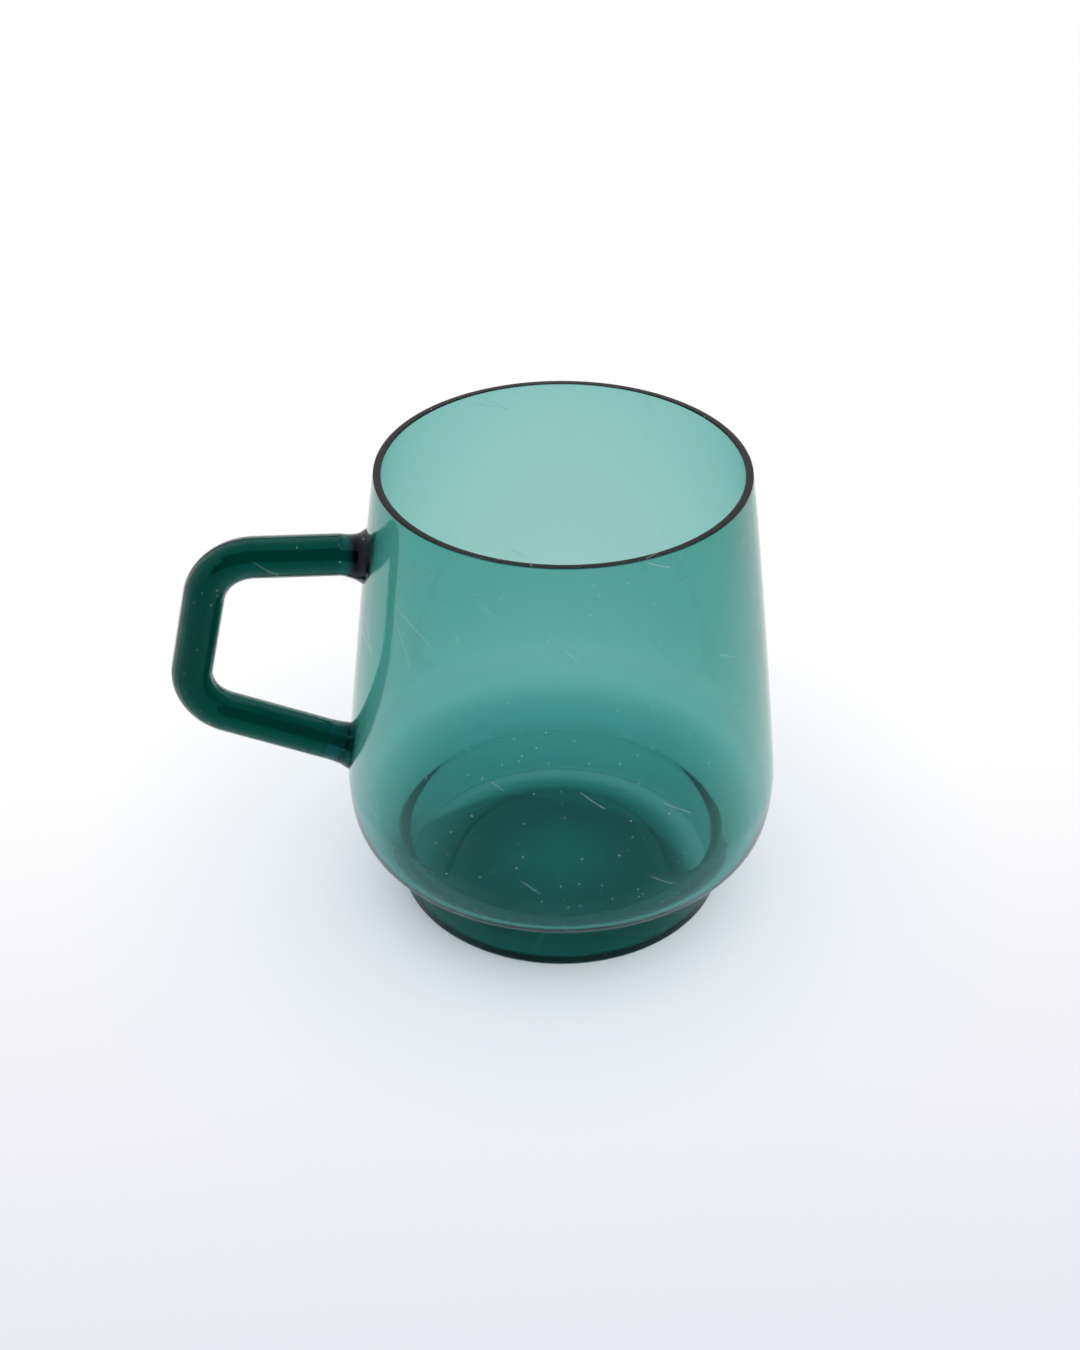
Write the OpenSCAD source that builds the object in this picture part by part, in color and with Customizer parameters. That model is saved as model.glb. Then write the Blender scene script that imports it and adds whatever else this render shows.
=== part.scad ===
// Glass mug with a stepped foot and a bent rod handle.
// The bowl is blown thin and stands on a narrower foot, which nests in the rim of a mug of the same kind.
// A solid rod, bent twice, is fused to the wall at two collars.
// The mug's axis is Z, the table is at zero height, and the handle reaches out along -X.

/* [Bowl] */
// Overall height
mug_h = 95.5; // [88:0.5:108]
// Outside diameter at the rim
rim_d = 71.2; // [66:0.2:78]
// Thickness of the wall at the rim
wall_t = 1.5; // [1:0.1:2.2]
// Radius of the fire-polished edges of the rim
rim_edge_r = 0.25; // [0.2:0.05:0.45]
// Outside diameter at the girth, the widest place
girth_d = 87.4; // [84:0.2:94]
// Height of the girth
girth_z = 27.2; // [25:0.2:32]
// Thickness of the wall at the girth, where it is blown thinnest
girth_t = 1; // [0.8:0.1:1.8]
// How soon the wall thins out above the crease, from evenly at 1 to soonest
thinning = 2; // [1:0.5:3]
// Angle at which the bowl leaves the foot, above the level
crease_angle = 38; // [25:1:50]
// Length over which the bowl keeps that angle
crease_run = 8.6; // [6:0.1:12]
// Radius of the hollow crease between the foot and the bowl
crease_r = 2; // [0.8:0.1:3]
// Depth below the girth at which the shoulder bends in
shoulder_drop = 13.5; // [10:0.5:15]
// Height above the girth at which the side leans in
side_lift = 2.5; // [1:0.5:10]
// Angle at which the side leans in at the rim
rim_lean = 9.2; // [5:0.2:13]
// Length below the rim over which that lean is kept
rim_run = 13.2; // [6:0.2:22]

/* [Foot] */
// Outside diameter of the foot
foot_d = 67.4; // [58:0.2:68]
// Height of the foot, up to the crease
foot_h = 10.3; // [9:0.1:12]
// Thickness of the foot's wall
foot_wall_t = 2.3; // [1:0.1:2.6]
// Thickness of the floor at its middle
floor_t = 2.1; // [1.6:0.1:3.4]
// Thickness of the floor where it meets the foot's wall
heel_t = 1.2; // [1:0.1:2]
// Radius of the hollow corner between the floor and the foot's wall
well_r = 1.5; // [1:0.1:3]
// Width of the slope that rises from that corner to the floor
slope_w = 12; // [6:0.2:14]
// Radius of the round edge at the table
foot_edge_r = 1.8; // [0.6:0.1:2]
// Width of the ring that stands on the table
stand_w = 3.9; // [3:0.1:10]
// Depth of the hollow under the floor
punt_h = 2.4; // [0.6:0.1:3]

/* [Handle] */
// Diameter of the glass rod
rod_d = 8.2; // [6.6:0.1:9.4]
// Depth of the upper arm's centre line below the rim
upper_drop = 17.5; // [13:0.5:22]
// Distance from the girth out to where the upper and outer centre lines cross
grip_reach = 23.6; // [20:0.2:30]
// Lean of the outer arm, its lower end further out
grip_lean = 12.9; // [4:0.5:16]
// Height at which the lower arm's centre line meets the wall
lower_z = 32.6; // [30:0.5:37]
// Rise of the lower arm on its way out from the wall
lower_rise = 21.6; // [8:0.5:26]
// Centre line radius of the upper bend
upper_bend_r = 10.5; // [8:0.5:12]
// Centre line radius of the lower bend
lower_bend_r = 9.7; // [8:0.5:12]

/* [Welds] */
// Length of the upper collar along the arm
upper_weld_l = 4.6; // [2.4:0.2:6]
// Spread of the upper collar past the rod
upper_weld_w = 1.9; // [0.8:0.1:2.2]
// Drop of the upper collar's foot at the wall, where the soft glass sagged
upper_weld_sag = 1.1; // [0:0.1:1.4]
// Length of the lower collar along the arm
lower_weld_l = 5; // [3:0.2:6]
// Spread of the lower collar past the rod
lower_weld_w = 0.8; // [0.6:0.1:1.8]
// Drop of the lower collar's foot at the wall, below zero where it crept up
lower_weld_sag = -0.2; // [-0.6:0.1:0.6]

/* [Hidden] */

$fn = 96;
// Steps along each long curve of the outline
curve_steps = 20;
// Steps along the floor's slope and the hollow under it
slope_steps = 12;
// Steps round each small arc of the outline
edge_steps = 6;
// How far round its quarter turn a collar's flare bends before it runs straight into the wall
flare_turn = 65;
// How much thinner the rod's radius is drawn where it bends
bend_thin = 0.03;
// Length by which each end of a bend runs into its arm
bend_lap = 0.4;

rim_r = rim_d / 2;
girth_r = girth_d / 2;
foot_r = foot_d / 2;
rod_r = rod_d / 2;
well_wall_r = foot_r - foot_wall_t;
punt_r = foot_r - foot_edge_r - stand_w;
floor_z = punt_h + floor_t;
corner_r = min(well_r, foot_h - heel_t);

// A unit way at an angle above the level
function way_at(angle) = [cos(angle), sin(angle)];

// A point of the cubic curve from c[0] to c[3] that is pulled towards c[1] and c[2]
function curve_point(c, t) =
    pow(1 - t, 3) * c[0] + 3 * pow(1 - t, 2) * t * c[1] + 3 * (1 - t) * t * t * c[2] + t * t * t * c[3];

// The unit way of that curve at the same place
function curve_way(c, t) =
    let (way = pow(1 - t, 2) * (c[1] - c[0]) + 2 * (1 - t) * t * (c[2] - c[1]) + t * t * (c[3] - c[2]))
    way / norm(way);

// Points beside the curve on its left, at distances that run from one value to the other
function curve_line(c, from, to, ease = 1) = [
    for (i = [0:curve_steps])
        let (t = i / curve_steps, way = curve_way(c, t))
            curve_point(c, t) + (to + (from - to) * pow(1 - t, ease)) * [-way.y, way.x]
];

// Points of an arc about a centre, from one angle to another
function arc_line(centre, radius, from, to) = [
    for (i = [0:edge_steps]) centre + radius * way_at(from + (to - from) * i / edge_steps)
];

// A line of points without its first
function tail(line) = [for (i = [1:len(line) - 1]) line[i]];

// A line of points, last to first
function backwards(line) = [for (i = [len(line) - 1:-1:0]) line[i]];

// The outline is drawn as [distance from the axis, height]
outer_edge_centre = [rim_r - rim_edge_r, mug_h - rim_edge_r];
inner_edge_centre = outer_edge_centre - [(wall_t - 2 * rim_edge_r) / cos(rim_lean), 0];
lip_foot = outer_edge_centre + rim_edge_r * way_at(rim_lean);
crease_centre = [foot_r + crease_r, foot_h];
crease_top = crease_centre + crease_r * way_at(90 + crease_angle);
girth = [girth_r, girth_z];
lower_curve = [crease_top, crease_top + crease_run * way_at(crease_angle), girth - [0, shoulder_drop], girth];
upper_curve = [girth, girth + [0, side_lift], lip_foot - rim_run * way_at(90 + rim_lean), lip_foot];

outer_line = concat(
    arc_line(crease_centre, crease_r, 180, 90 + crease_angle),
    tail(curve_line(lower_curve, 0, 0)),
    tail(curve_line(upper_curve, 0, 0))
);
inner_line = concat(
    arc_line(crease_centre, crease_r + foot_wall_t, 180, 90 + crease_angle),
    tail(curve_line(lower_curve, foot_wall_t, girth_t, thinning)),
    tail(curve_line(upper_curve, girth_t, wall_t))
);
lip_line = concat(
    tail(arc_line(outer_edge_centre, rim_edge_r, rim_lean, 90)),
    arc_line(inner_edge_centre, rim_edge_r, 90, 180 + rim_lean)
);
stand_line = arc_line([foot_r - foot_edge_r, foot_edge_r], foot_edge_r, -90, 0);
corner_line = arc_line([well_wall_r - corner_r, heel_t + corner_r], corner_r, 0, -90);
slope_line = [for (i = [0:slope_steps]) let (share = i / slope_steps)
    [well_wall_r - corner_r - share * slope_w, heel_t + share * share * (3 - 2 * share) * (floor_z - heel_t)]];
punt_line = [for (i = [0:slope_steps]) let (share = i / slope_steps)
    [share * punt_r, pow(1 - share * share, 2) * punt_h]];

// The outside radius of the bowl at a height
function wall_at(z) = lookup(z, [for (p = outer_line) [p.y, p.x]]);

// The handle is drawn in its own upright plane as [distance from the axis, height]
upper_z = mug_h - upper_drop;
outer_way = -way_at(90 + grip_lean);
lower_way = way_at(lower_rise);
upper_joint = [wall_at(upper_z), upper_z];
lower_joint = [wall_at(lower_z), lower_z];
upper_corner = [girth_r + grip_reach, upper_z];
lower_corner = upper_corner
    + cross(lower_joint - upper_corner, lower_way) / cross(outer_way, lower_way) * outer_way;
upper_turn = 90 - grip_lean;
lower_turn = 90 + grip_lean - lower_rise;
upper_trim = upper_bend_r * tan(upper_turn / 2);
lower_trim = lower_bend_r * tan(lower_turn / 2);

// Turns what is drawn in the XY plane up into the handle's plane, on the -X side
module in_handle_plane() {
    rotate([0, 0, 180]) rotate([90, 0, 0]) children();
}

// A straight length of rod between two points
module arm(from, to) {
    way = to - from;
    translate(from) rotate([0, 0, atan2(way.y, way.x)]) rotate([0, 90, 0]) cylinder(h = norm(way), r = rod_r);
}

// A bend of the rod about a centre, over a turn that ends at an angle
module bend(centre, radius, turn, end) {
    lap = 180 / PI * bend_lap / radius;
    translate(centre) rotate([0, 0, end - turn - lap]) rotate_extrude(angle = turn + 2 * lap)
        translate([radius, 0]) circle(r = rod_r - bend_thin);
}

// A collar that flares from the rod to the wall, leans by its sag and runs on inwards past the wall's surface
module collar(joint, rise, length, width, sag) {
    flare = [for (i = [0:edge_steps]) let (a = flare_turn * i / edge_steps)
        [rod_r + width * (1 - cos(a)), length * (1 - sin(a))]];
    spread = rod_d * width / length * tan(flare_turn);
    flare_end = flare[edge_steps];
    root = [flare_end.x + spread, flare_end.y - rod_d];
    lean = [[1, 0, 0, 0], [sag / length, 1, 0, -sag], [0, 0, 1, 0], [0, 0, 0, 1]];
    translate(joint) rotate([0, 0, rise]) multmatrix(lean) rotate([0, 90, 0]) rotate_extrude()
        polygon(concat([[0, length]], flare, [root, [0, root.y]]));
}

// The bowl as if it were solid, from the foot to the rim
module bowl_blank() {
    rotate_extrude() polygon(concat([[0, foot_h]], outer_line, lip_line, [[0, mug_h - rim_edge_r]]));
}

// The thin blown wall, with its fire-polished rim
module bowl() {
    color([0.34, 0.66, 0.61, 0.5])
        rotate_extrude() polygon(concat(outer_line, lip_line, backwards(inner_line)));
}

// The foot ring and the floor, which is thickest round the hollow under it
module foot() {
    color([0.1, 0.36, 0.33, 0.7])
        rotate_extrude() polygon(concat(
            punt_line,
            stand_line,
            [[foot_r, foot_h], [well_wall_r, foot_h]],
            corner_line,
            tail(slope_line),
            [[0, floor_z]]
        ));
}

// The rod with its three arms and two bends
module handle() {
    upper_start = upper_joint + [upper_weld_l, 0];
    upper_bend_start = upper_corner - [upper_trim, 0];
    upper_bend_end = upper_corner + upper_trim * outer_way;
    lower_bend_start = lower_corner - lower_trim * outer_way;
    lower_bend_end = lower_corner - lower_trim * lower_way;
    lower_end = lower_joint + lower_weld_l * lower_way;
    color([0.02, 0.3, 0.26])
        in_handle_plane() {
            arm(upper_start, upper_bend_start);
            bend(upper_bend_start - [0, upper_bend_r], upper_bend_r, upper_turn, 90);
            arm(upper_bend_end, lower_bend_start);
            bend(lower_bend_start - lower_bend_r * way_at(grip_lean), lower_bend_r, lower_turn, grip_lean);
            arm(lower_bend_end, lower_end);
        }
}

// The melted collar of the upper arm
module upper_weld() {
    color([0.1, 0.22, 0.22])
        difference() {
            in_handle_plane() collar(upper_joint, 0, upper_weld_l, upper_weld_w, upper_weld_sag);
            bowl_blank();
        }
}

// The melted collar of the lower arm
module lower_weld() {
    color([0.1, 0.22, 0.22])
        difference() {
            in_handle_plane() collar(lower_joint, lower_rise, lower_weld_l, lower_weld_w, lower_weld_sag);
            bowl_blank();
        }
}

bowl();
foot();
handle();
upper_weld();
lower_weld();
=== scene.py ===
"""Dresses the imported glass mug: its glass, the floor and light round it, and the camera.

Sizes are in millimetres and angles in degrees. They are turned into metres and radians where a mesh, a
pattern or a place needs them.
"""

import logging
import math
from dataclasses import dataclass, field, replace
from enum import Enum
from typing import Any

import bpy
from mathutils import Matrix, Vector


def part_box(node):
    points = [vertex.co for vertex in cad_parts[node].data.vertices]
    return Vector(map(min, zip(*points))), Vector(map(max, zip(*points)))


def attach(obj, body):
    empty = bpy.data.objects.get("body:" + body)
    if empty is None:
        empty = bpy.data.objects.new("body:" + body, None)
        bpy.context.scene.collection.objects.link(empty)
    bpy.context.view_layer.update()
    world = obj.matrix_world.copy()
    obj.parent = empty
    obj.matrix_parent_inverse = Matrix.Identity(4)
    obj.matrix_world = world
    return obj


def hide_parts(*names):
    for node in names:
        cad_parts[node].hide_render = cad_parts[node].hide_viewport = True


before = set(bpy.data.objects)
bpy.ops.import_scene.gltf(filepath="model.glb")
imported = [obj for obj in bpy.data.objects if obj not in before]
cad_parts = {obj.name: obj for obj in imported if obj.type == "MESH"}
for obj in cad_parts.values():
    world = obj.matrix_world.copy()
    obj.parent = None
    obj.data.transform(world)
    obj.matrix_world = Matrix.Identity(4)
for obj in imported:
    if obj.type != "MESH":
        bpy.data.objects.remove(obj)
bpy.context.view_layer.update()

LOG = logging.getLogger("mug")
MM = 0.001
BODY = "root"
AXIS = Vector((0, 0, 1))
CENTRE = Vector((0, 0, 0))
MERGE_DISTANCE = 0.0005 * MM


def linear(hex_colour: str) -> tuple[float, float, float]:
    """Turns a written colour into the linear values that a shader takes.

    Args:
        hex_colour: An sRGB colour such as "#9BD0CC".

    Returns:
        Red, green and blue, each from 0 to 1.
    """
    shares = [int(hex_colour[i : i + 2], 16) / 255 for i in (1, 3, 5)]
    return tuple(s / 12.92 if s <= 0.04045 else ((s + 0.055) / 1.055) ** 2.4 for s in shares)


def opaque(hex_colour: str) -> tuple[float, float, float, float]:
    """Turns a written colour into a shader's colour, which nothing shows through."""
    return (*linear(hex_colour), 1)


def way_at(angle: float) -> Vector:
    """Returns the unit way at an angle in degrees above the level."""
    return Vector((math.cos(math.radians(angle)), math.sin(math.radians(angle))))


def arc_line(centre: Vector, radius: float, start: float, end: float, steps: int) -> list[Vector]:
    """Lays points along an arc.

    Args:
        centre: The arc's centre.
        radius: Its radius.
        start: The angle of its first point, in degrees.
        end: The angle of its last point.
        steps: How many steps it takes.

    Returns:
        The points, both ends included.
    """
    return [centre + radius * way_at(start + (end - start) * i / steps) for i in range(steps + 1)]


def curve_line(
    pulls: list[Vector], near: float, far: float, steps: int, ease: float = 1
) -> list[Vector]:
    """Lays points beside a cubic curve, on its left.

    Args:
        pulls: The curve's start, its two pulling points and its end.
        near: The distance from the curve at its start.
        far: The distance from the curve at its end.
        steps: How many steps it takes.
        ease: How early the distance changes: 1 is evenly, and more is nearer the start.

    Returns:
        The points, both ends included.
    """
    line = []
    for i in range(steps + 1):
        t = i / steps
        u = 1 - t
        place = u**3 * pulls[0] + 3 * u * u * t * pulls[1] + 3 * u * t * t * pulls[2] + t**3 * pulls[3]
        first, middle, last = (b - a for a, b in zip(pulls, pulls[1:]))
        way = u * u * first + 2 * u * t * middle + t * t * last
        way.normalize()
        line.append(place + (far + (near - far) * u**ease) * Vector((-way.y, way.x)))
    return line


def cross(a: Vector, b: Vector) -> float:
    """Returns the cross product of two ways in a plane."""
    return a.x * b.y - a.y * b.x


@dataclass(frozen=True)
class Outline:
    """The mug's half outline, as points of (distance from the axis, height) in millimetres."""

    mug_h: float
    girth_r: float
    foot_r: float
    rim_r: float = 35.6
    wall_t: float = 1.5
    girth_t: float = 1.0
    thinning: float = 2
    rim_edge_r: float = 0.25
    girth_z: float = 27.2
    crease_angle: float = 38
    crease_run: float = 8.6
    crease_r: float = 2
    shoulder_drop: float = 13.5
    side_lift: float = 2.5
    rim_lean: float = 9.2
    rim_run: float = 13.2
    foot_h: float = 10.3
    foot_wall_t: float = 2.3
    floor_t: float = 2.1
    heel_t: float = 1.2
    well_r: float = 1.5
    slope_w: float = 12
    foot_edge_r: float = 1.8
    stand_w: float = 3.9
    punt_h: float = 2.4
    # Where they are fused, bowl and foot stop a hair apart, and the crease starts a little above.
    fusion_gap: float = 0.002
    fusion_lead: float = 0.04
    curve_steps: int = 44
    slope_steps: int = 24
    edge_steps: int = 10

    @classmethod
    def from_frame(cls) -> "Outline":
        """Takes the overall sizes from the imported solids."""
        bowl_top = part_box("bowl")[1]
        foot_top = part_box("foot")[1]
        return cls(mug_h=bowl_top.z / MM, girth_r=bowl_top.y / MM, foot_r=foot_top.y / MM)

    @property
    def crease(self) -> Vector:
        """The centre of the hollow crease between foot and bowl."""
        return Vector((self.foot_r + self.crease_r, self.foot_h + self.fusion_lead))

    @property
    def fused_z(self) -> float:
        """The height at which foot and bowl are fused."""
        return self.foot_h - self.fusion_gap / 2

    @property
    def well_wall_r(self) -> float:
        """The inside radius of the foot."""
        return self.foot_r - self.foot_wall_t

    @property
    def floor_z(self) -> float:
        """The height of the floor at its middle."""
        return self.punt_h + self.floor_t

    @property
    def outer_edge(self) -> Vector:
        """The centre of the rim's outer edge."""
        return Vector((self.rim_r - self.rim_edge_r, self.mug_h - self.rim_edge_r))

    def side(self, crease_t: float, girth_t: float, wall_t: float) -> list[Vector]:
        """Lays the bowl's side at a depth inside its outer face.

        Args:
            crease_t: The depth at the crease.
            girth_t: The depth at the girth.
            wall_t: The depth at the rim.

        Returns:
            The points, from the foot to the rim.
        """
        crease_top = self.crease + self.crease_r * way_at(90 + self.crease_angle)
        girth = Vector((self.girth_r, self.girth_z))
        lip_foot = self.outer_edge + self.rim_edge_r * way_at(self.rim_lean)
        lower = [
            crease_top,
            crease_top + self.crease_run * way_at(self.crease_angle),
            girth - Vector((0, self.shoulder_drop)),
            girth,
        ]
        upper = [
            girth,
            girth + Vector((0, self.side_lift)),
            lip_foot - self.rim_run * way_at(90 + self.rim_lean),
            lip_foot,
        ]
        return (
            [Vector((self.foot_r - crease_t, self.foot_h))]
            + arc_line(self.crease, self.crease_r + crease_t, 180, 90 + self.crease_angle, self.edge_steps)
            + curve_line(lower, crease_t, girth_t, self.curve_steps, self.thinning)[1:]
            + curve_line(upper, girth_t, wall_t, self.curve_steps)[1:]
        )

    def lip(self) -> list[Vector]:
        """Lays the flat rim with its two small round edges, from the outside in."""
        across = (self.wall_t - 2 * self.rim_edge_r) / math.cos(math.radians(self.rim_lean))
        inner_edge = self.outer_edge - Vector((across, 0))
        return (
            arc_line(self.outer_edge, self.rim_edge_r, self.rim_lean, 90, self.edge_steps)[1:]
            + arc_line(inner_edge, self.rim_edge_r, 90, 180 + self.rim_lean, self.edge_steps)[:-1]
        )

    def bowl(self) -> list[Vector]:
        """Lays the bowl's closed outline, back to its first point."""
        outside = self.side(0, 0, 0)
        inside = self.side(self.foot_wall_t, self.girth_t, self.wall_t)
        return outside + self.lip() + inside[::-1] + outside[:1]

    def blank(self) -> list[Vector]:
        """Lays the outline of the bowl as if it were solid, a hair larger than its outer face."""
        outside = self.side(-self.fusion_gap, -self.fusion_gap, -self.fusion_gap)
        return [Vector((0, outside[0].y))] + outside + [Vector((0, outside[-1].y))]

    def foot(self) -> list[Vector]:
        """Lays the foot's outline, from the axis under the floor to the axis above it."""
        punt_r = self.foot_r - self.foot_edge_r - self.stand_w
        corner_r = min(self.well_r, self.foot_h - self.heel_t)
        corner_x = self.well_wall_r - corner_r
        top_z = self.foot_h - self.fusion_gap
        shares = [i / self.slope_steps for i in range(self.slope_steps + 1)]
        punt = [Vector((s * punt_r, (1 - s * s) ** 2 * self.punt_h)) for s in shares]
        edge_x = self.foot_r - self.foot_edge_r
        edge = arc_line(Vector((edge_x, self.foot_edge_r)), self.foot_edge_r, -90, 0, self.edge_steps)
        corner = arc_line(Vector((corner_x, self.heel_t + corner_r)), corner_r, 0, -90, self.edge_steps)
        rise = self.floor_z - self.heel_t
        slope = [
            Vector((corner_x - s * self.slope_w, self.heel_t + s * s * (3 - 2 * s) * rise)) for s in shares
        ]
        top = [Vector((self.foot_r, top_z)), Vector((self.well_wall_r, top_z))]
        return punt + edge + top + corner + slope[1:] + [Vector((0, self.floor_z))]

    def wall_at(self, height: float) -> float:
        """Returns the outside radius of the bowl at a height."""
        side = self.side(0, 0, 0)
        for low, high in zip(side, side[1:]):
            if low.y <= height <= high.y:
                return low.x + (high.x - low.x) * (height - low.y) / (high.y - low.y)
        return self.rim_r


def round_the_axis(point: Vector) -> Vector:
    """Puts an outline's point in the plane on the mug's +X side, in metres."""
    return Vector((point.x, 0, point.y)) * MM


def in_the_handle(point: Vector) -> Vector:
    """Puts a point of the handle's drawing in the plane on the mug's -X side, in metres."""
    return Vector((-point.x, 0, point.y)) * MM


def deselect() -> None:
    """Leaves nothing selected, in object mode."""
    if bpy.context.object and bpy.context.object.mode != "OBJECT":
        bpy.ops.object.mode_set(mode="OBJECT")
    bpy.ops.object.select_all(action="DESELECT")


def take_up(piece: bpy.types.Object) -> None:
    """Makes a piece the only one selected, and the active one."""
    deselect()
    piece.select_set(True)
    bpy.context.view_layer.objects.active = piece


def draw_line(name: str, line: list[Vector]) -> bpy.types.Object:
    """Draws a chain of edges from point to point.

    Args:
        name: The name of the new piece.
        line: Its points, in metres.

    Returns:
        The piece, left in edit mode with its last point selected.
    """
    deselect()
    bpy.ops.mesh.primitive_plane_add(size=MM)
    piece = bpy.context.object
    piece.name = piece.data.name = name
    bpy.ops.object.mode_set(mode="EDIT")
    bpy.ops.mesh.select_all(action="SELECT")
    bpy.ops.mesh.merge(type="CENTER")
    bpy.ops.transform.translate(value=line[0])
    for here, there in zip(line, line[1:]):
        bpy.ops.mesh.extrude_vertices_move(TRANSFORM_OT_translate={"value": there - here})
    return piece


def draw_disc(name: str, radius: float, place: Vector, way: Vector, steps: int) -> bpy.types.Object:
    """Draws a filled circle square to a way.

    Args:
        name: The name of the new piece.
        radius: Its radius, in metres.
        place: Its centre.
        way: The way that it faces.
        steps: How many corners it has.

    Returns:
        The disc, left in edit mode with all of it selected.
    """
    deselect()
    turn = way.to_track_quat("Z", "Y").to_euler()
    bpy.ops.mesh.primitive_circle_add(
        vertices=steps, radius=radius, fill_type="NGON", location=place, rotation=turn
    )
    piece = bpy.context.object
    piece.name = piece.data.name = name
    bpy.ops.object.transform_apply(location=True, rotation=True, scale=True)
    bpy.ops.object.mode_set(mode="EDIT")
    bpy.ops.mesh.select_all(action="SELECT")
    return piece


def turn_solid(name: str, line: list[Vector], centre: Vector, axis: Vector, steps: int) -> bpy.types.Object:
    """Turns a drawn line once round an axis into a closed solid.

    Args:
        name: The name of the new piece.
        line: The line's points, in metres.
        centre: A point of the axis.
        axis: The way of the axis.
        steps: How many faces go round.

    Returns:
        The solid, in object mode.
    """
    piece = draw_line(name, line)
    bpy.ops.mesh.select_all(action="SELECT")
    bpy.ops.mesh.spin(steps=steps, angle=2 * math.pi, center=centre, axis=axis)
    close_seams()
    bpy.ops.object.mode_set(mode="OBJECT")
    return piece


def close_seams() -> None:
    """Merges what lies together in the mesh being edited, and turns its faces outwards."""
    bpy.ops.mesh.select_all(action="SELECT")
    bpy.ops.mesh.remove_doubles(threshold=MERGE_DISTANCE)
    bpy.ops.mesh.normals_make_consistent(inside=False)


def smooth(piece: bpy.types.Object, angle: float) -> None:
    """Shades a piece smooth, but for its edges that are sharper than an angle in degrees."""
    take_up(piece)
    bpy.ops.object.shade_smooth_by_angle(angle=math.radians(angle))


def add_node(
    tree: bpy.types.NodeTree, kind: str, settings: dict[str, Any] | None = None, **inputs: Any
) -> Any:
    """Adds a node, sets it up and joins what feeds it.

    Args:
        tree: The node tree that takes it.
        kind: The node's type, without "ShaderNode".
        settings: The node's own settings, by name.
        **inputs: A value or an output for each input, by its name with _ for a space, or its number as _1.

    Returns:
        The new node.
    """
    node = tree.nodes.new("ShaderNode" + kind)
    for name, value in (settings or {}).items():
        setattr(node, name, value)
    for name, value in inputs.items():
        socket = node.inputs[int(name[1:])] if name[0] == "_" else node.inputs[name.replace("_", " ")]
        if isinstance(value, bpy.types.NodeSocket):
            tree.links.new(value, socket)
        else:
            socket.default_value = value
    return node


def calculate(
    tree: bpy.types.NodeTree, operation: str, *values: float | bpy.types.NodeSocket
) -> bpy.types.NodeSocket:
    """Adds a Math node.

    Args:
        tree: The node tree that takes it.
        operation: What it does with the values.
        *values: Its values, or the outputs that feed it, in order.

    Returns:
        Its result.
    """
    inputs = {f"_{i}": value for i, value in enumerate(values)}
    return add_node(tree, "Math", {"operation": operation}, **inputs).outputs["Value"]


def coordinate(tree: bpy.types.NodeTree, place: bpy.types.NodeSocket, axis: str) -> bpy.types.NodeSocket:
    """Returns one coordinate of a place, by its letter."""
    return add_node(tree, "SeparateXYZ", Vector=place).outputs[axis]


def ramp(
    tree: bpy.types.NodeTree,
    value: bpy.types.NodeSocket,
    start: float = 0,
    end: float = 1,
    low: float | bpy.types.NodeSocket = 0,
    high: float | bpy.types.NodeSocket = 1,
) -> bpy.types.NodeSocket:
    """Carries a value over from one range to another, and keeps it within that.

    Args:
        tree: The node tree that takes it.
        value: The value.
        start: The first range's start, which gives low.
        end: The first range's end, which gives high.
        low: The second range's start.
        high: The second range's end.

    Returns:
        The value in the second range.
    """
    node = add_node(
        tree, "MapRange", Value=value, From_Min=start, From_Max=end, To_Min=low, To_Max=high
    )
    return node.outputs["Result"]


def mix_colours(
    tree: bpy.types.NodeTree, share: bpy.types.NodeSocket, first: Any, second: Any
) -> bpy.types.NodeSocket:
    """Mixes two colours, each a value or an output, by the share of the second."""
    # The node's inputs for colours are its numbers 6 and 7, and its output for a colour is number 2.
    return add_node(tree, "Mix", {"data_type": "RGBA"}, _0=share, _6=first, _7=second).outputs[2]


def mix_shaders(
    tree: bpy.types.NodeTree,
    share: bpy.types.NodeSocket,
    first: bpy.types.NodeSocket,
    second: bpy.types.NodeSocket,
) -> bpy.types.NodeSocket:
    """Mixes two shaders by the share of the second."""
    return add_node(tree, "MixShader", _0=share, _1=first, _2=second).outputs["Shader"]


def new_tree(owner: bpy.types.ID) -> bpy.types.NodeTree:
    """Gives a material or world an empty node tree."""
    owner.use_nodes = True
    owner.node_tree.nodes.clear()
    return owner.node_tree


class Ray(Enum):
    """The kinds of ray that a material can tell apart."""

    CAMERA = "Is Camera Ray"
    SHADOW = "Is Shadow Ray"
    DIFFUSE = "Is Diffuse Ray"
    GLOSSY = "Is Glossy Ray"
    TRANSMISSION = "Is Transmission Ray"


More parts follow.
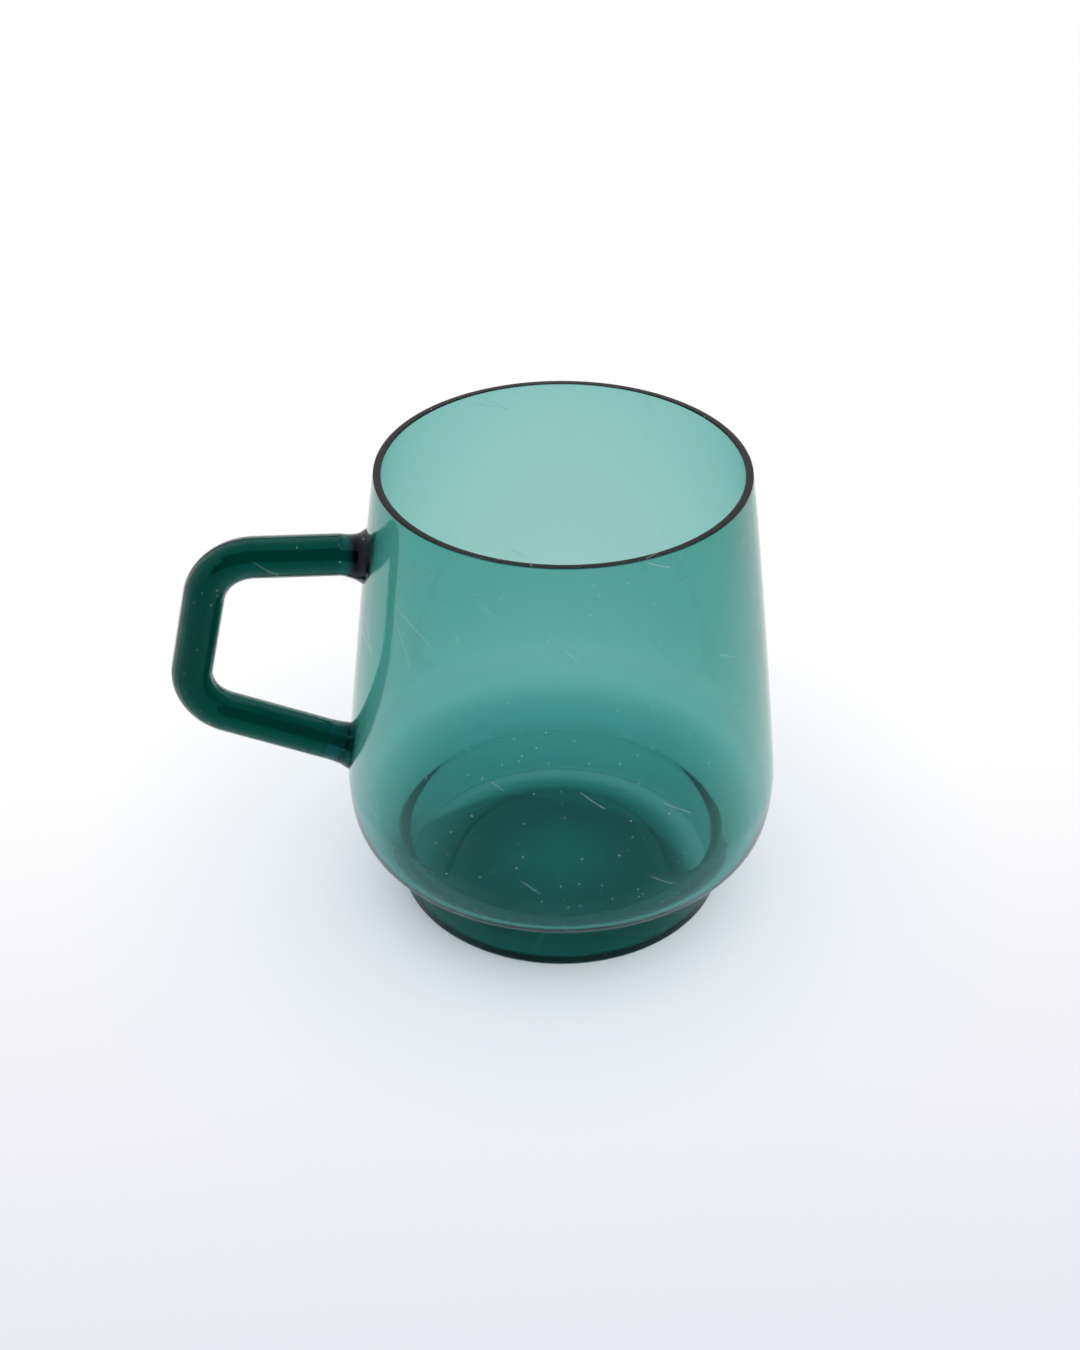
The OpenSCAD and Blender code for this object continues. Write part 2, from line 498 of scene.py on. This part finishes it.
@dataclass(frozen=True)
class GlassFinish:
    """Clear coloured glass that is deeper in colour where it is thicker.

    The colour is what white light has left after a named depth of the glass, in millimetres.
    """

    name: str
    slot: str
    seen_through: str
    depth: float
    ior: float = 1.47
    clear: str = "#FFFFFF"
    # What the surface mirrors face on is toned down, or the white room would wash the glass out.
    reflection: str = "#6CF3ED"
    shadow_tone: str = "#FAFDFF"
    # Blown and drawn glass is never quite flat: its ripple bends what is seen through it a little.
    ripple_size: float = 14
    ripple_height: float = 0.004
    ripple_detail: float = 1
    ripple_roughness: float = 0.4
    # Real specks and scratches are a few hundredths of a millimetre wide. These are as wide as they need
    # to be to show, and catch the light a little, as a thin rough coat does.
    speck_spacing: float = 2.4
    speck_size: float = 0.18
    scratch_spacing: float = 7
    scratch_length: float = 12
    scratch_detail: float = 0
    scratch_width: float = 0.05
    scratch_share: float = 0.33
    scratch_turns: tuple[tuple[float, float, float], ...] = ((0.5, 0.9, 0.3), (1.2, -0.6, 0.9))
    wear_ior: float = 2.9
    wear_roughness: float = 0.2
    # Drawing leaves finer streaks on a real rod. These are as coarse as they need to be to show.
    streak_size: float = 1.4
    streak_height: float = 0
    streak_detail: float = 2
    # Painted shade: where the glass looks dark in this light, at the top of the rim and at the collars' feet
    # by the wall, its surface and what it mirrors are painted a dark greyish purple.
    painted_shade: str | None = None
    painted_shade_reflection: str = "#2C2230"
    painted_shade_axis: str = "X"
    painted_shade_start: float = 0
    painted_shade_end: float = 1
    fused_at: float | None = None
    fused_reach: float = 0.003

    def absorption(self) -> tuple[float, tuple[float, float, float, float]]:
        """Works out the density and colour that Volume Absorption takes."""
        losses = [-math.log(share) / (self.depth * MM) for share in linear(self.seen_through)]
        density = max(losses)
        return density, (*[1 - loss / density for loss in losses], 1)

    def bending(self, tree: bpy.types.NodeTree, place: bpy.types.NodeSocket) -> bpy.types.NodeSocket:
        """Lets light run straight on where this glass is fused to the next piece.

        Args:
            tree: The material's node tree.
            place: The place on the piece.

        Returns:
            The index of refraction, which is 1 at the fused height.
        """
        height = coordinate(tree, place, "Z")
        fused = calculate(tree, "COMPARE", height, self.fused_at * MM, self.fused_reach * MM)
        return ramp(tree, fused, low=self.ior, high=1)

    def wear(self, tree: bpy.types.NodeTree, place: bpy.types.NodeSocket) -> bpy.types.NodeSocket:
        """Scatters dust specks and short fine scratches over clear glass.

        Args:
            tree: The material's node tree.
            place: The place on the piece.

        Returns:
            The share of wear, which is 0 but for the specks and scratches.
        """
        cells = add_node(tree, "TexVoronoi", Vector=place, Scale=1 / (self.speck_spacing * MM))
        worn = calculate(
            tree, "LESS_THAN", cells.outputs["Distance"], self.speck_size / self.speck_spacing
        )
        patches = add_node(
            tree,
            "TexNoise",
            Vector=place,
            Scale=1 / (self.scratch_length * MM),
            Detail=self.scratch_detail,
        )
        in_patch = calculate(tree, "LESS_THAN", patches.outputs["Fac"], self.scratch_share)
        for turn in self.scratch_turns:
            turned = add_node(tree, "Mapping", Vector=place, Rotation=turn)
            across = coordinate(tree, turned.outputs["Vector"], "X")
            beside = calculate(tree, "PINGPONG", across, self.scratch_spacing * MM)
            on_line = calculate(tree, "LESS_THAN", beside, self.scratch_width * MM)
            scratch = calculate(tree, "MULTIPLY", on_line, in_patch)
            worn = calculate(tree, "MAXIMUM", worn, scratch)
        return worn

    def tint(
        self, tree: bpy.types.NodeTree, place: bpy.types.NodeSocket, clear: str, painted_shade_colour: str
    ) -> bpy.types.NodeSocket:
        """Paints shade into a colour of the surface, where the glass looks dark.

        Args:
            tree: The material's node tree.
            place: The place on the piece.
            clear: The colour away from the painted shade.
            painted_shade_colour: The colour of the painted shade.

        Returns:
            The colour, which runs from one to the other along the painted shade's axis.
        """
        along = coordinate(tree, place, self.painted_shade_axis)
        share = ramp(tree, along, self.painted_shade_start * MM, self.painted_shade_end * MM)
        return mix_colours(tree, share, opaque(clear), opaque(painted_shade_colour))

    def relief(self, tree: bpy.types.NodeTree, place: bpy.types.NodeSocket) -> bpy.types.NodeSocket:
        """Makes the glass slightly wavy, and draws streaks along it where it is a drawn rod.

        Args:
            tree: The material's node tree.
            place: The place on the piece.

        Returns:
            The bumped normal.
        """
        ripple = add_node(
            tree,
            "TexNoise",
            Vector=place,
            Scale=1 / (self.ripple_size * MM),
            Detail=self.ripple_detail,
            Roughness=self.ripple_roughness,
        )
        wavy = add_node(
            tree, "Bump", Distance=self.ripple_height * MM, Height=ripple.outputs["Fac"]
        ).outputs["Normal"]
        if not self.streak_height:
            return wavy
        streaks = add_node(
            tree,
            "TexNoise",
            {"noise_dimensions": "1D"},
            W=coordinate(tree, place, "Y"),
            Scale=1 / (self.streak_size * MM),
            Detail=self.streak_detail,
        )
        drawn = add_node(
            tree, "Bump", Distance=self.streak_height * MM, Height=streaks.outputs["Fac"], Normal=wavy
        )
        return drawn.outputs["Normal"]

    def material(self) -> bpy.types.Material:
        """Builds the finish.

        Returns:
            The material, which lets light through to the floor unbent, so that the shadow stays soft.
        """
        material = bpy.data.materials.new(self.name)
        tree = new_tree(material)
        place = add_node(tree, "TexCoord").outputs["Object"]
        body, mirror = opaque(self.clear), opaque(self.reflection)
        # Painted shade: the colour and the mirrored light turn dark where the glass looks dark.
        if self.painted_shade:
            body = self.tint(tree, place, self.clear, self.painted_shade)
            mirror = self.tint(tree, place, self.reflection, self.painted_shade_reflection)
        glass = add_node(
            tree,
            "BsdfPrincipled",
            Base_Color=body,
            Roughness=0.0,
            IOR=self.ior if self.fused_at is None else self.bending(tree, place),
            Transmission_Weight=1.0,
            Specular_Tint=mirror,
            Coat_Weight=self.wear(tree, place),
            Coat_Roughness=self.wear_roughness,
            Coat_IOR=self.wear_ior,
            Normal=self.relief(tree, place),
        )
        passing = add_node(tree, "BsdfTransparent", Color=opaque(self.shadow_tone)).outputs["BSDF"]
        rays = add_node(tree, "LightPath").outputs
        lit = mix_shaders(tree, rays[Ray.DIFFUSE.value], glass.outputs["BSDF"], passing)
        shaded = mix_shaders(tree, rays[Ray.SHADOW.value], lit, passing)
        density, colour = self.absorption()
        volume = add_node(tree, "VolumeAbsorption", Color=colour, Density=density)
        add_node(tree, "OutputMaterial", Surface=shaded, Volume=volume.outputs["Volume"])
        return material


def seat(piece: bpy.types.Object, node: str, finish: GlassFinish) -> None:
    """Gives a finished piece its material and its place in the frame, and reports it.

    Args:
        piece: The finished piece.
        node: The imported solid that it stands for.
        finish: Its glass.
    """
    piece.data.materials.clear()
    piece.data.materials.append(finish.material())
    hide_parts(node)
    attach(piece, BODY)
    LOG.info("%s: %d faces, %s", piece.name, len(piece.data.polygons), finish.name)


@dataclass(frozen=True)
class Vessel:
    """The blown bowl and the stepped foot under it."""

    outline: Outline
    round_steps: int = 256
    sharp_angle: float = 50
    # Soda-lime glass, blown thin and fire-polished: clear, glossy and pale. Its near-black rim is painted
    # shade.
    bowl_glass: GlassFinish = GlassFinish(
        "Blown_wall_glass", "bowl_glass", "#52A096", 3, painted_shade="#8F8092", painted_shade_axis="Z"
    )
    # The same glass, blown into the foot of the mould: deeper in colour, because it is thick.
    foot_glass: GlassFinish = GlassFinish("Moulded_foot_glass", "foot_glass", "#52A096", 3)

    def build(self) -> None:
        """Builds and dresses both pieces."""
        edge_r = self.outline.rim_edge_r
        rim_z = self.outline.mug_h - edge_r
        # Painted shade darkens the top of the rim, above its round edges' centres.
        bowl_glass = replace(self.bowl_glass, painted_shade_start=rim_z, painted_shade_end=rim_z + edge_r / 2)
        self.turn("Bowl", self.outline.bowl(), "bowl", bowl_glass)
        self.turn("Foot", self.outline.foot(), "foot", self.foot_glass)

    def turn(self, name: str, line: list[Vector], node: str, finish: GlassFinish) -> None:
        """Turns one outline about the mug's axis.

        Args:
            name: The piece's name.
            line: Its outline.
            node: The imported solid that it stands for.
            finish: Its glass.
        """
        points = [round_the_axis(p) for p in line]
        piece = turn_solid(name, points, CENTRE, AXIS, self.round_steps)
        smooth(piece, self.sharp_angle)
        seat(piece, node, replace(finish, fused_at=self.outline.fused_z))


class Arm(Enum):
    """The two arms of the handle that reach the wall."""

    UPPER = "upper_weld"
    LOWER = "lower_weld"


@dataclass(frozen=True)
class Collar:
    """A melted collar: its length along the arm, its spread past the rod and how far its foot has sagged."""

    length: float
    width: float
    sag: float


@dataclass(frozen=True)
class RodHandle:
    """The glass rod, bent twice, and the two collars that join it to the wall."""

    outline: Outline
    rod_r: float = 4.07
    upper_drop: float = 17.5
    grip_reach: float = 23.6
    grip_lean: float = 12.9
    lower_z: float = 32.6
    lower_rise: float = 21.6
    upper_bend_r: float = 10.5
    lower_bend_r: float = 9.7
    upper_collar: Collar = Collar(4.6, 1.9, 1.1)
    lower_collar: Collar = Collar(5, 0.8, -0.2)
    flare_turn: float = 65
    flare_steps: int = 10
    round_steps: int = 96
    bend_steps: int = 24
    blank_steps: int = 256
    sharp_angle: float = 40
    # The same glass, drawn to a solid rod: a deep green, glossy, with faint streaks along it.
    rod_glass: GlassFinish = GlassFinish(
        "Drawn_rod_glass", "rod_glass", "#379088", 3, reflection="#3AD8C0", streak_height=0.3
    )
    # The same glass, melted onto the wall: glossy, with painted shade, a dark greyish purple, near the wall.
    weld_glass: GlassFinish = GlassFinish(
        "Melted_collar_glass", "weld_glass", "#3B8F8C", 3, painted_shade="#85758A", painted_shade_reflection="#8C7C98"
    )
    # The painted shade on the collars: how far out from the wall it reaches on the upper one, and over what
    # length it fades in.
    painted_shade_reach: float = 3.2
    painted_shade_fade: float = 1.6
    outer_way: Vector = field(init=False)
    joints: dict[Arm, Vector] = field(init=False)
    ways: dict[Arm, Vector] = field(init=False)
    corners: dict[Arm, Vector] = field(init=False)

    def __post_init__(self) -> None:
        """Works out the corners of the handle's centre line, in its own upright plane."""
        upper_z = self.outline.mug_h - self.upper_drop
        outer_way = -way_at(90 + self.grip_lean)
        lower_way = way_at(self.lower_rise)
        upper_joint = Vector((self.outline.wall_at(upper_z), upper_z))
        lower_joint = Vector((self.outline.wall_at(self.lower_z), self.lower_z))
        upper_corner = Vector((self.outline.girth_r + self.grip_reach, upper_z))
        reach = cross(lower_joint - upper_corner, lower_way) / cross(outer_way, lower_way)
        lower_corner = upper_corner + reach * outer_way
        derived = {
            "outer_way": outer_way,
            "joints": {Arm.UPPER: upper_joint, Arm.LOWER: lower_joint},
            "ways": {Arm.UPPER: Vector((1, 0)), Arm.LOWER: lower_way},
            "corners": {Arm.UPPER: upper_corner, Arm.LOWER: lower_corner},
        }
        for name, value in derived.items():
            object.__setattr__(self, name, value)

    def build(self) -> None:
        """Builds and dresses the rod and its collars."""
        self.build_rod()
        self.build_collar(Arm.UPPER, "Upper_weld", self.upper_collar)
        self.build_collar(Arm.LOWER, "Lower_weld", self.lower_collar)

    def build_rod(self) -> None:
        """Draws the rod out along its three arms and spins it round its two bends."""
        gap = self.outline.fusion_gap
        upper_turn = 90 - self.grip_lean
        lower_turn = 90 + self.grip_lean - self.lower_rise
        upper_trim = self.upper_bend_r * math.tan(math.radians(upper_turn / 2))
        lower_trim = self.lower_bend_r * math.tan(math.radians(lower_turn / 2))
        start = self.joints[Arm.UPPER] + Vector((self.upper_collar.length + gap, 0))
        upper_bend = self.corners[Arm.UPPER] - Vector((upper_trim, 0))
        grip_top = self.corners[Arm.UPPER] + upper_trim * self.outer_way
        grip_foot = self.corners[Arm.LOWER] - lower_trim * self.outer_way
        lower_arm = self.corners[Arm.LOWER] - lower_trim * self.ways[Arm.LOWER]
        end = self.joints[Arm.LOWER] + (self.lower_collar.length + gap) * self.ways[Arm.LOWER]
        first_way = in_the_handle(self.ways[Arm.UPPER])
        piece = draw_disc("Handle", self.rod_r * MM, in_the_handle(start), first_way, self.round_steps)
        self.draw_out(start, upper_bend)
        self.bend(upper_bend - Vector((0, self.upper_bend_r)), upper_turn)
        self.draw_out(grip_top, grip_foot)
        self.bend(grip_foot - self.lower_bend_r * way_at(self.grip_lean), lower_turn)
        self.draw_out(lower_arm, end)
        close_seams()
        bpy.ops.object.mode_set(mode="OBJECT")
        smooth(piece, self.sharp_angle)
        seat(piece, "handle", self.rod_glass)

    def draw_out(self, start: Vector, end: Vector) -> None:
        """Draws the selected end of the rod out along a straight arm."""
        step = in_the_handle(end) - in_the_handle(start)
        bpy.ops.mesh.extrude_region_move(TRANSFORM_OT_translate={"value": step})

    def bend(self, centre: Vector, turn: float) -> None:
        """Spins the selected end of the rod round a bend, by a turn in degrees."""
        bpy.ops.mesh.spin(
            steps=self.bend_steps,
            angle=math.radians(turn),
            center=in_the_handle(centre),
            axis=(0, 1, 0),
        )

    def flare(self, size: Collar) -> list[tuple[float, float]]:
        """Works out a collar's rings, from the rod to past the wall.

        Args:
            size: The collar's length and spread.

        Returns:
            The radius of each ring, and its distance from the wall along the arm.
        """
        turns = [self.flare_turn * i / self.flare_steps for i in range(self.flare_steps + 1)]
        rings = [
            (self.rod_r + size.width * (1 - way_at(turn).x), size.length * (1 - way_at(turn).y))
            for turn in turns
        ]
        root_depth = 2 * self.rod_r
        spread = root_depth * size.width / size.length * math.tan(math.radians(self.flare_turn))
        return rings + [(rings[-1][0] + spread, rings[-1][1] - root_depth)]

    def cut_to_wall(self, piece: bpy.types.Object) -> None:
        """Cuts off what lies inside the bowl's outer face."""
        blank_line = [round_the_axis(p) for p in self.outline.blank()]
        blank = turn_solid("Blank", blank_line, CENTRE, AXIS, self.blank_steps)
        take_up(piece)
        cut = piece.modifiers.new("Cut", "BOOLEAN")
        cut.operation = "DIFFERENCE"
        cut.solver = "EXACT"
        cut.object = blank
        bpy.ops.object.modifier_apply(modifier=cut.name)
        bpy.data.objects.remove(blank)

    def build_collar(self, arm: Arm, name: str, size: Collar) -> None:
        """Draws a collar out of the rod's end in widening rings, and cuts it to the wall.

        Args:
            arm: The arm that it ends.
            name: The piece's name.
            size: Its length, spread and sag.
        """
        joint, way = self.joints[arm], self.ways[arm]
        down = Vector((way.y, -way.x))
        rings = self.flare(size)
        centres = [
            in_the_handle(joint + along * way + size.sag * (1 - along / size.length) * down)
            for _, along in rings
        ]
        piece = draw_disc(name, rings[0][0] * MM, centres[0], in_the_handle(way), self.round_steps)
        for here, there, near, far in zip(centres, centres[1:], rings, rings[1:]):
            bpy.ops.mesh.extrude_region_move(TRANSFORM_OT_translate={"value": there - here})
            bpy.ops.transform.resize(value=(far[0] / near[0],) * 3, center_override=there)
        close_seams()
        bpy.ops.object.mode_set(mode="OBJECT")
        self.cut_to_wall(piece)
        smooth(piece, self.sharp_angle)
        # Painted shade darkens the collar near the wall.
        start = -joint.x - (self.painted_shade_reach if arm is Arm.UPPER else 0)
        seat(piece, arm.value, replace(self.weld_glass, painted_shade_start=start, painted_shade_end=start + self.painted_shade_fade))


@dataclass(frozen=True)
class Card:
    """A flat card that shows only in the glass, to darken what it reflects."""

    name: str
    place: tuple[float, float, float]
    width: float
    height: float
    tone: str


@dataclass(frozen=True)
class Studio:
    """The pale floor, the even white light round the mug and the dark card in front of it.

    Close to the mug the floor is lit paint, which takes its shadow, painted pale blue there as painted shadow
    colour. Further off a glow of its own colour covers it more and more: the pale background far off, and
    painted light that lightens the shadow nearer the mug. The shade is the painted shade that the glow leaves
    free under the mug, as it is seen through the glass. The floor is also painted darker and bluer in front,
    as painted shade where the light falls off.
    """

    floor_size: float = 6000
    floor_drop: float = 0.03
    # Painted shade: the floor is painted darker and bluer in front than at the back, where the light falls
    # off.
    floor_back: str = "#FFFFFF"
    floor_front: str = "#E9E9F3"
    fade_back: float = 30
    fade_front: float = -130
    # Painted light: a glow of the floor's own colour covers it more the further it is from the mug: the pale
    # background far off, and a lightened shadow nearer. Close to the mug the floor and its glow are painted
    # pale blue, as painted shadow colour.
    painted_glow: float = 0.9
    painted_glow_rise: float = 0.37
    painted_shadow_tone: str = "#EEF5FD"
    painted_glow_middle: tuple[float, float, float] = (-4, -1, 0)
    painted_glow_start: float = 28
    painted_glow_end: float = 100
    # Painted shade under the mug, as seen through the glass: there the glow starts only outside this circle,
    # set off to the left and front.
    shade_middle: tuple[float, float, float] = (-8, -16, 0)
    shade_start: float = 36
    light: str = "#FFFFFF"
    card: Card = Card("Front_card", (0, -900, 600), 2000, 1200, "#272727")

    def build(self) -> None:
        """Builds the floor, the card and the world's light."""
        self.build_floor()
        self.build_card(self.card)
        self.light_world()

    def build_floor(self) -> None:
        """Lays the floor a hair under the foot."""
        deselect()
        bpy.ops.mesh.primitive_plane_add(size=self.floor_size * MM, location=(0, 0, -self.floor_drop * MM))
        floor = bpy.context.object
        floor.name = "Floor"
        bpy.ops.object.transform_apply(location=True)
        floor.data.materials.append(self.floor_material())

    def floor_material(self) -> bpy.types.Material:
        """Paints the floor whiter at the back than in front, as painted shade, and lays the painted glow over
        it.

        Returns:
            The floor's material.
        """
        material = bpy.data.materials.new("Pale_floor")
        tree = new_tree(material)
        place = add_node(tree, "TexCoord").outputs["Object"]
        # Painted shade: darker and bluer towards the front.
        back = ramp(tree, coordinate(tree, place, "Y"), self.fade_front * MM, self.fade_back * MM)
        tone = mix_colours(tree, back, opaque(self.floor_front), opaque(self.floor_back))
        rays = add_node(tree, "LightPath").outputs
        # Camera rays measure from the glow's circle; the rest measure from the shade's circle, which leaves
        # painted shade under the mug as seen through the glass.
        seen = rays[Ray.CAMERA.value]
        away = ramp(
            tree,
            seen,
            low=self.away_from(tree, place, self.shade_middle, self.shade_start),
            high=self.away_from(tree, place, self.painted_glow_middle, self.painted_glow_start),
        )
        # Painted shadow colour: pale blue near the mug. Painted light: the glow's share rises further off.
        painted_shadow_colour = mix_colours(tree, away, opaque(self.painted_shadow_tone), tone)
        painted_glow = calculate(tree, "MULTIPLY", calculate(tree, "POWER", away, self.painted_glow_rise), self.painted_glow)
        for ray in (Ray.GLOSSY, Ray.TRANSMISSION):
            seen = calculate(tree, "MAXIMUM", seen, rays[ray.value])
        covered = calculate(tree, "MULTIPLY", seen, painted_glow)
        paint = add_node(tree, "BsdfDiffuse", Color=painted_shadow_colour).outputs["BSDF"]
        glow = add_node(tree, "Emission", Color=painted_shadow_colour).outputs["Emission"]
        add_node(tree, "OutputMaterial", Surface=mix_shaders(tree, covered, paint, glow))
        return material

    def away_from(
        self,
        tree: bpy.types.NodeTree,
        place: bpy.types.NodeSocket,
        middle: tuple[float, float, float],
        start: float,
    ) -> bpy.types.NodeSocket:
        """Measures how far a place on the floor is out of the mug's shade.

        Args:
            tree: The material's node tree.
            place: The place on the floor.
            middle: The middle of the shade.
            start: The distance from there at which it starts to fade.

        Returns:
            The share of the way out, from 0 to 1.
        """
        centre = tuple(Vector(middle) * MM)
        distance = add_node(tree, "VectorMath", {"operation": "DISTANCE"}, _0=place, _1=centre)
        return ramp(tree, distance.outputs["Value"], start * MM, self.painted_glow_end * MM)

    def build_card(self, card: Card) -> None:
        """Stands a card up so that it faces the mug."""
        deselect()
        place = Vector(card.place) * MM
        turn = (-place).to_track_quat("Z", "Y").to_euler()
        bpy.ops.mesh.primitive_plane_add(size=1, location=place, rotation=turn)
        piece = bpy.context.object
        piece.name = card.name
        piece.scale = (card.width * MM, card.height * MM, 1)
        bpy.ops.object.transform_apply(location=True, rotation=True, scale=True)
        material = bpy.data.materials.new(card.name)
        tree = new_tree(material)
        glow = add_node(tree, "Emission", Color=opaque(card.tone))
        add_node(tree, "OutputMaterial", Surface=glow.outputs["Emission"])
        piece.data.materials.append(material)
        piece.visible_camera = False
        piece.visible_diffuse = False
        piece.visible_shadow = False

    def light_world(self) -> None:
        """Lights the scene evenly from all round."""
        world = bpy.data.worlds.new("Even_light")
        tree = new_tree(world)
        glow = add_node(tree, "Background", Color=opaque(self.light))
        add_node(tree, "OutputWorld", Surface=glow.outputs["Background"])
        bpy.context.scene.world = world


@dataclass(frozen=True)
class PhotoCamera:
    """The camera that took the photograph, as its picture of the mug gives it."""

    image_height: float = 1350
    focal_pixels: float = 2050
    sensor: float = 36
    pitch: float = 35.13
    distance: float = 410.8
    aim: tuple[float, float, float] = (-4.33, 0, 48.03)
    swing: float = -3.5

    def build(self) -> None:
        """Adds the camera, tilts it down at the mug and swings it round the mug's axis."""
        camera = bpy.data.cameras.new("Photo_camera")
        camera.sensor_fit = "VERTICAL"
        camera.sensor_height = self.sensor
        camera.lens = self.focal_pixels / self.image_height * self.sensor
        holder = bpy.data.objects.new("Photo_camera", camera)
        bpy.context.scene.collection.objects.link(holder)
        down = way_at(-self.pitch)
        look = Vector((0, down.x, down.y))
        place = (Vector(self.aim) - self.distance * look) * MM
        tilt = Matrix.Translation(place) @ look.to_track_quat("-Z", "Y").to_matrix().to_4x4()
        holder.matrix_world = Matrix.Rotation(math.radians(self.swing), 4, "Z") @ tilt
        bpy.context.scene.camera = holder


def main() -> None:
    """Builds the mug and its setting in order."""
    logging.basicConfig(level=logging.INFO, format="%(name)s: %(message)s")
    bpy.context.scene.view_settings.view_transform = "Standard"
    outline = Outline.from_frame()
    Vessel(outline).build()
    RodHandle(outline).build()
    Studio().build()
    PhotoCamera().build()


if __name__ == "__main__":
    main()
